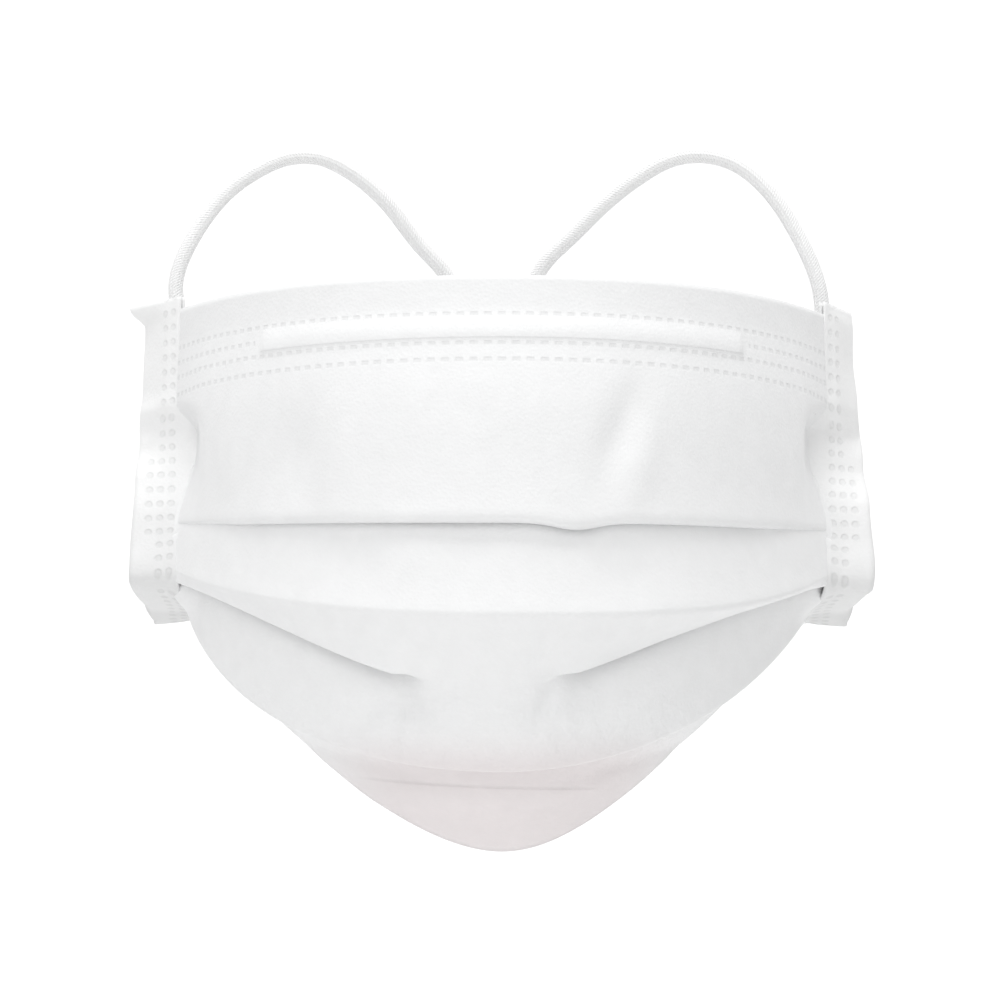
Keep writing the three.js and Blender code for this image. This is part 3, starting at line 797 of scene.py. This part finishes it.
def nonwoven_group():
    """Fibres, bond points and soft crumple, as one height and a faint colour variation."""
    group = bpy.data.node_groups.new("nonwoven relief", "ShaderNodeTree")
    sockets(
        group,
        [("Bond depth", "NodeSocketFloat", 1.0), ("Crumple", "NodeSocketFloat", 1.0)],
        [("Height", "NodeSocketFloat"), ("Tone", "NodeSocketFloat")],
    )
    nodes, links = group.nodes, group.links
    given, out = nodes.new("NodeGroupInput"), nodes.new("NodeGroupOutput")
    coordinate = nodes.new("ShaderNodeTexCoord")
    fibres = nodes.new("ShaderNodeTexNoise")
    fibres.inputs["Scale"].default_value = FIBRE_SCALE
    fibres.inputs["Detail"].default_value = 3
    links.new(coordinate.outputs["Object"], fibres.inputs["Vector"])
    bonds = nodes.new("ShaderNodeTexVoronoi")
    bonds.inputs["Scale"].default_value = BOND_SCALE
    links.new(coordinate.outputs["Object"], bonds.inputs["Vector"])
    crumple = nodes.new("ShaderNodeTexNoise")
    crumple.inputs["Scale"].default_value = CRUMPLE_SCALE
    crumple.inputs["Detail"].default_value = 2.5
    links.new(coordinate.outputs["Object"], crumple.inputs["Vector"])
    bond = maths(group, "MULTIPLY", bonds.outputs["Distance"], BOND_HEIGHT)
    bond = maths(group, "MULTIPLY", bond, given.outputs["Bond depth"])
    soft = maths(group, "MULTIPLY", crumple.outputs["Fac"], CRUMPLE_HEIGHT)
    soft = maths(group, "MULTIPLY", soft, given.outputs["Crumple"])
    fine = maths(group, "MULTIPLY", fibres.outputs["Fac"], FIBRE_HEIGHT)
    height = maths(group, "ADD", maths(group, "ADD", fine, bond), soft)
    links.new(height, out.inputs["Height"])
    tone = maths(group, "MULTIPLY_ADD", crumple.outputs["Fac"], 0.06, 0.97)
    links.new(tone, out.inputs["Tone"])
    return group


nonwoven = nonwoven_group()
print("group made:", nonwoven.name)

# %% [markdown]
# Weld marks are short raised bars in rows, drawn from the UV map, which holds millimetres of
# flat cloth. A repeating bar is the distance from the nearest centre, held to a soft edge.

# %% A helper for rows of weld marks
def flat_millimetres(tree):
    """The UV map as millimetres across and down."""
    uv = tree.nodes.new("ShaderNodeUVMap")
    uv.uv_map = "UVMap"
    split = tree.nodes.new("ShaderNodeSeparateXYZ")
    tree.links.new(uv.outputs[0], split.inputs[0])
    across = maths(tree, "MULTIPLY", maths(tree, "SUBTRACT", split.outputs[0], 0.5), UV_SIZE * 1000)
    down = maths(tree, "MULTIPLY", maths(tree, "SUBTRACT", 1.0, split.outputs[1]), UV_SIZE * 1000)
    return across, down


def near(tree, distance, half, soft):
    """1 within half of a line at a given distance from it, falling to 0 over soft."""
    node = tree.nodes.new("ShaderNodeMapRange")
    node.interpolation_type = "SMOOTHSTEP"
    for name, value in (("From Min", half + soft), ("From Max", half), ("To Min", 0.0), ("To Max", 1.0)):
        node.inputs[name].default_value = value
    tree.links.new(distance, node.inputs["Value"])
    return node.outputs[0]


def repeat(tree, value, pitch):
    """The distance in millimetres from the nearest of many evenly spaced places."""
    return maths(tree, "PINGPONG", maths(tree, "ADD", value, 1000 * pitch), pitch / 2)


# %% [markdown]
# The body's cloth is white but never even: the top hem doubles it, the chin gets a warm-tinted
# painted shade where it faces down, a pressed line runs across the chin with painted shade in its
# crease, and a painted shadow lies under the wire's lower edge. Each of these is a soft mask made
# from the place on the cloth, so that no painted picture is needed.

# %% Material of the body
CLOTH_WHITE = (0.86, 0.863, 0.866)
CLOTH_RELIEF = 0.00006
WELD_ROWS = [7.4, 12.9, 16.1]  # millimetres down from the top edge, as all lengths here
WELD_PITCH = 2.4
WIRE_ROW = 10.2  # one more row of marks, on both sides of the wire
CHIN_LINE, CHIN_SLOPE, CHIN_MIDDLE = -90.0, -0.035, -4.0
# painted shade: a warm-tinted darkening low on the chin, which faces down away from the lamps
CHIN_SHADE_TINT = (0.905, 0.85, 0.85)
CHIN_LOWEST = 100
PEBBLE_SCALE, PEBBLE_DEPTH = 620, 4.0
PEBBLE_HEIGHT = -80


def principled(name, colour, roughness):
    """A matt white with a slight sheen, its node tree and its shader."""
    material = bpy.data.materials.new(name)
    material.use_nodes = True
    shader = material.node_tree.nodes["Principled BSDF"]
    shader.inputs["Base Color"].default_value = (*colour, 1)
    shader.inputs["Roughness"].default_value = roughness
    shader.inputs["Sheen Weight"].default_value = 0.15
    shader.inputs["Sheen Roughness"].default_value = 0.5
    shader.inputs["Specular IOR Level"].default_value = 0.25
    return material, material.node_tree, shader


def tinted(tree, shader, colour, tone):
    """Base colour times a tone that changes over the surface."""
    mix = tree.nodes.new("ShaderNodeMix")
    mix.data_type = "RGBA"
    mix.blend_type = "MULTIPLY"
    mix.inputs[0].default_value = 1.0
    mix.inputs[6].default_value = (*colour, 1)
    tree.links.new(tone, mix.inputs[7])
    tree.links.new(mix.outputs[2], shader.inputs["Base Color"])


def bump(tree, shader, height, distance):
    """Turns a height into relief of a depth in metres."""
    node = tree.nodes.new("ShaderNodeBump")
    node.inputs["Strength"].default_value = 1.0
    node.inputs["Distance"].default_value = distance
    tree.links.new(height, node.inputs["Height"])
    tree.links.new(node.outputs[0], shader.inputs["Normal"])


def relief(tree, bond, crumple):
    """The nonwoven group with its two strengths."""
    node = tree.nodes.new("ShaderNodeGroup")
    node.node_tree = nonwoven
    node.inputs["Bond depth"].default_value = bond
    node.inputs["Crumple"].default_value = crumple
    return node


def distance_to(tree, value, place):
    return maths(tree, "ABSOLUTE", maths(tree, "SUBTRACT", value, place))


def weld_marks(tree, across, down):
    """1 on the short bars of the weld rows. The row that the wire hides is left out there."""
    dash = near(tree, repeat(tree, across, WELD_PITCH), 0.45, 0.4)
    rows = None
    for row in WELD_ROWS:
        line = near(tree, distance_to(tree, down, row), 0.2, 0.4)
        rows = line if rows is None else maths(tree, "MAXIMUM", rows, line)
    outer = maths(tree, "GREATER_THAN", maths(tree, "ABSOLUTE", across), WIRE_HALF * 1000 + 2)
    line = near(tree, distance_to(tree, down, WIRE_ROW), 0.2, 0.4)
    rows = maths(tree, "MAXIMUM", rows, maths(tree, "MULTIPLY", line, outer))
    return maths(tree, "MULTIPLY", dash, rows)


def chin_marks(tree):
    """A pressed line across the chin, and the mask of the chin's painted shade, from 0 above to 1."""
    coordinate = tree.nodes.new("ShaderNodeTexCoord")
    split = tree.nodes.new("ShaderNodeSeparateXYZ")
    tree.links.new(coordinate.outputs["Object"], split.inputs[0])
    x, z = (maths(tree, "MULTIPLY", split.outputs[k], 1000) for k in (0, 2))
    line_height = maths(tree, "MULTIPLY_ADD", x, CHIN_SLOPE, CHIN_LINE)
    line = near(tree, distance_to(tree, z, line_height), 0.08, 0.35)
    inside = near(tree, distance_to(tree, x, CHIN_MIDDLE), 16, 8)
    low = near(tree, maths(tree, "ADD", z, CHIN_LOWEST), 12, 10)
    narrow = near(tree, maths(tree, "ABSOLUTE", x), 18, 22)
    return maths(tree, "MULTIPLY", line, inside), maths(tree, "MULTIPLY", low, narrow)


def pebbles(tree):
    """The coarser puckers above and below the lower fold."""
    coordinate = tree.nodes.new("ShaderNodeTexCoord")
    split = tree.nodes.new("ShaderNodeSeparateXYZ")
    tree.links.new(coordinate.outputs["Object"], split.inputs[0])
    noise = tree.nodes.new("ShaderNodeTexNoise")
    noise.inputs["Scale"].default_value = PEBBLE_SCALE
    noise.inputs["Detail"].default_value = 1
    tree.links.new(coordinate.outputs["Object"], noise.inputs["Vector"])
    height = maths(tree, "MULTIPLY", split.outputs[2], 1000)
    zone = near(tree, distance_to(tree, height, PEBBLE_HEIGHT), 4, 6)
    return maths(tree, "MULTIPLY", maths(tree, "MULTIPLY", noise.outputs["Fac"], PEBBLE_DEPTH), zone)


def body_material():
    """The sheet's cloth, with its weld marks, the painted shadow under the wire, the pressed chin line with
    painted shade in it and the chin's warm-tinted painted shade.
    """
    material, tree, shader = principled("white nonwoven", CLOTH_WHITE, 0.85)
    across, down = flat_millimetres(tree)
    marks = weld_marks(tree, across, down)
    chin_line, low = chin_marks(tree)
    cloth_relief = relief(tree, 1.0, 1.0)
    # painted shadow: a soft dark line under the wire's lower edge, which is also pressed in as a groove
    wire_line = near(tree, distance_to(tree, down, WIRE_BOTTOM * 1000 - 0.1), 0.1, 0.35)
    wire_ends = near(tree, maths(tree, "ABSOLUTE", across), WIRE_HALF * 1000 - 0.6, 0.8)
    wire_line = maths(tree, "MULTIPLY", wire_line, wire_ends)
    lines = maths(tree, "MAXIMUM", chin_line, wire_line)
    pressed = maths(tree, "MAXIMUM", marks, maths(tree, "MULTIPLY", lines, 1.2))
    height = maths(tree, "MULTIPLY_ADD", pressed, -1.3, cloth_relief.outputs["Height"])
    height = maths(tree, "ADD", height, pebbles(tree))
    bump(tree, shader, height, CLOTH_RELIEF)
    tone = maths(tree, "MULTIPLY_ADD", marks, -0.08, cloth_relief.outputs["Tone"])
    # the pressed chin line and the line under the wire are darkened: painted shade in the crease and
    # painted shadow under the wire
    tone = maths(tree, "MULTIPLY_ADD", lines, -0.06, tone)
    tone = maths(tree, "MULTIPLY_ADD", near(tree, down, 5, 3), -0.03, tone)
    # painted shade low on the chin: the cloth there faces down and is darkened with a warm tint
    chin_shade_mix = tree.nodes.new("ShaderNodeMix")
    chin_shade_mix.data_type = "RGBA"
    chin_shade_mix.inputs[6].default_value = (1, 1, 1, 1)
    chin_shade_mix.inputs[7].default_value = (*CHIN_SHADE_TINT, 1)
    tree.links.new(low, chin_shade_mix.inputs[0])
    shade = tree.nodes.new("ShaderNodeMix")
    shade.data_type = "RGBA"
    shade.blend_type = "MULTIPLY"
    shade.inputs[0].default_value = 1.0
    tree.links.new(chin_shade_mix.outputs[2], shade.inputs[6])
    tree.links.new(tone, shade.inputs[7])
    tinted(tree, shader, CLOTH_WHITE, shade.outputs[2])
    return material


body_white = body_material()
cloth_body.data.materials.append(body_white)
print("material made:", body_white.name)

# %% [markdown]
# The bands are welded with columns of round dots, two for most of their length and three in
# the middle. A dot is the distance from the nearest crossing of two evenly spaced patterns.
# The lower end is folded back under the chin and lies in the shade, so it gets darker there.

# %% Material of the bands
BAND_WHITE = (0.875, 0.877, 0.877)
BAND_RELIEF = 0.00007
DOT_PITCH = 2.8
DOT_COLUMNS = 2.1
FIRST_COLUMN = 0.9
BAND_END = 80  # millimetres down the band, where its turned back end is in the shade
BAND_SHADES = ((36, 8, -0.1), (22, 10, -0.07), (7, 5, -0.08))  # reach, softness and tone there
THIRD_COLUMN_FROM, THIRD_COLUMN_TO = 30, 46  # where the band has a third column of dots


def band_material():
    """The binding cloth, with its columns of welded dots and its shaded lower end."""
    material, tree, shader = principled("band nonwoven", BAND_WHITE, 0.8)
    across, down = flat_millimetres(tree)
    across = maths(tree, "SUBTRACT", across, FIRST_COLUMN)
    x = repeat(tree, across, DOT_COLUMNS)
    y = repeat(tree, down, DOT_PITCH)
    square = maths(tree, "ADD", maths(tree, "MULTIPLY", x, x), maths(tree, "MULTIPLY", y, y))
    dot = near(tree, maths(tree, "SQRT", square), 0.42, 0.45)
    middle = (THIRD_COLUMN_FROM + THIRD_COLUMN_TO) / 2
    third = near(tree, distance_to(tree, down, middle), (THIRD_COLUMN_TO - THIRD_COLUMN_FROM) / 2, 0.1)
    reach = maths(tree, "MULTIPLY_ADD", third, DOT_COLUMNS, 1.5 * DOT_COLUMNS)
    inside = maths(tree, "LESS_THAN", across, reach)
    from_edge = maths(tree, "GREATER_THAN", across, -DOT_COLUMNS / 2)
    marks = maths(tree, "MULTIPLY", dot, maths(tree, "MULTIPLY", inside, from_edge))
    cloth_relief = relief(tree, 0.8, 0.8)
    height = maths(tree, "MULTIPLY_ADD", marks, -1.8, cloth_relief.outputs["Height"])
    bump(tree, shader, height, BAND_RELIEF)
    tone = maths(tree, "MULTIPLY_ADD", marks, -0.07, cloth_relief.outputs["Tone"])
    for half, soft, darker in BAND_SHADES:
        shade = near(tree, distance_to(tree, down, BAND_END), half, soft)
        tone = maths(tree, "MULTIPLY_ADD", shade, darker, tone)
    tinted(tree, shader, BAND_WHITE, tone)
    return material


band_white = band_material()
for band in bands.values():
    band.data.materials.append(band_white)
print("material made:", band_white.name)

# %% [markdown]
# An ear loop is a thin knitted tube over elastic threads. Modelled stitches would cost many
# faces and are hardly seen at this size, so slanted ribs and fine columns go into the bump.

# %% Material of the loops
LOOP_WHITE = (0.94, 0.94, 0.94)
LOOP_RELIEF = 0.00012
RIB_PITCH, RIB_SLANT, WALE_PITCH = 0.55, 0.6, 0.73


def loop_material():
    """Knitted elastic: slanted ribs across and fine columns of stitches along."""
    material, tree, shader = principled("knitted elastic", LOOP_WHITE, 0.9)
    across, down = flat_millimetres(tree)
    slanted = maths(tree, "MULTIPLY_ADD", across, RIB_SLANT, down)
    rib = maths(tree, "MULTIPLY", repeat(tree, slanted, RIB_PITCH), 3.0)
    wale = maths(tree, "MULTIPLY", repeat(tree, across, WALE_PITCH), 2.2)
    cloth_relief = relief(tree, 0.2, 0.5)
    height = maths(tree, "ADD", maths(tree, "ADD", rib, wale), cloth_relief.outputs["Height"])
    bump(tree, shader, height, LOOP_RELIEF)
    tinted(tree, shader, LOOP_WHITE, cloth_relief.outputs["Tone"])
    return material


loop_white = loop_material()
for loop, _, _ in loops.values():
    loop.data.materials.append(loop_white)
print("material made:", loop_white.name)

# %% [markdown]
# ## Hems and wire
#
# The solid model's hems and nose wire lie behind the cloth with the right shape, so they stay
# and only get their finish. They show from behind and from below.

# %% Finish the carried pieces
def plain_cloth(name, colour, roughness, bond, crumple):
    material, tree, shader = principled(name, colour, roughness)
    cloth_relief = relief(tree, bond, crumple)
    bump(tree, shader, cloth_relief.outputs["Height"], CLOTH_RELIEF)
    tinted(tree, shader, colour, cloth_relief.outputs["Tone"])
    return material


inner_white = plain_cloth("hem nonwoven", CLOTH_WHITE, 0.88, 1.0, 0.8)
wire_white = plain_cloth("coated wire", (0.8, 0.8, 0.78), 0.5, 0.1, 0.2)
for node in ("top_hem", "bottom_hem"):
    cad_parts[node].data.materials.clear()
    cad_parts[node].data.materials.append(inner_white)
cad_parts["nose_wire"].data.materials.clear()
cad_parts["nose_wire"].data.materials.append(wire_white)
print("materials made:", inner_white.name, "and", wire_white.name)

# %% [markdown]
# ## Riding on the frame
#
# Nothing in a mask turns or slides, so every piece rides on the one body.

for piece in (cloth_body, *bands.values(), *(loop for loop, _, _ in loops.values())):
    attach(piece, "root")
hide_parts("pleated_body")
for side in SIGN:
    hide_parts(f"side_band_{side}")
    loop, line, length = loops[side]
    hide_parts(f"ear_loop_{side}")

# %% [markdown]
# ## Backdrop and light
#
# The mask hangs before a white backdrop, lit softly from above the camera, with a weaker front
# lamp at about the camera's height so that the undersides of the folds stay light.

# %% Floor and backdrop
def backdrop():
    """One sheet that is the floor, curves up behind the mask and stands as the wall."""
    floor_z, wall_y, bend = -0.45, 1.2, 0.5
    profile = [(-2.5, floor_z), (wall_y - bend, floor_z)]
    for a in np.linspace(0, math.pi / 2, 13)[1:]:
        profile.append((wall_y - bend + bend * math.sin(a), floor_z + bend - bend * math.cos(a)))
    profile.append((wall_y, 2.5))
    places = [[(x, y, z) for y, z in profile] for x in (-3.0, 3.0)]
    piece = folded_grid("backdrop", np.array(places), np.zeros((2, len(profile), 2)))
    material = bpy.data.materials.new("white paper")
    material.use_nodes = True
    shader = material.node_tree.nodes["Principled BSDF"]
    shader.inputs["Base Color"].default_value = (0.95, 0.95, 0.95, 1)
    shader.inputs["Roughness"].default_value = 1.0
    piece.data.materials.append(material)
    return piece


backdrop()


def area_light(name, place, aim, size, watts):
    """A square lamp at a place, turned to its aim."""
    data = bpy.data.lights.new(name, "AREA")
    data.size = size
    data.energy = watts
    light = bpy.data.objects.new(name, data)
    bpy.context.collection.objects.link(light)
    light.location = place
    way = np.array(aim) - np.array(place)
    tilt = math.acos(-way[2] / np.linalg.norm(way))
    light.rotation_euler = (tilt, 0, math.atan2(way[0], -way[1]) + math.pi)


MIDDLE = (0, 0.01, -0.045)
area_light("key above", (-0.25, -0.85, 0.62), MIDDLE, 0.6, 2.1)
area_light("front", (-0.1, -1.3, 0.05), MIDDLE, 0.9, 2.0)
area_light("wall wash", (0, 0.2, 1.3), (0, 1.2, 0.0), 1.2, 16)

world = bpy.data.worlds.new("studio")
bpy.context.scene.world = world
world.use_nodes = True
world.node_tree.nodes["Background"].inputs[0].default_value = (1, 1, 1, 1)
world.node_tree.nodes["Background"].inputs[1].default_value = 0.6
bpy.context.scene.view_settings.view_transform = "Standard"
print("three lamps and the studio's own light")
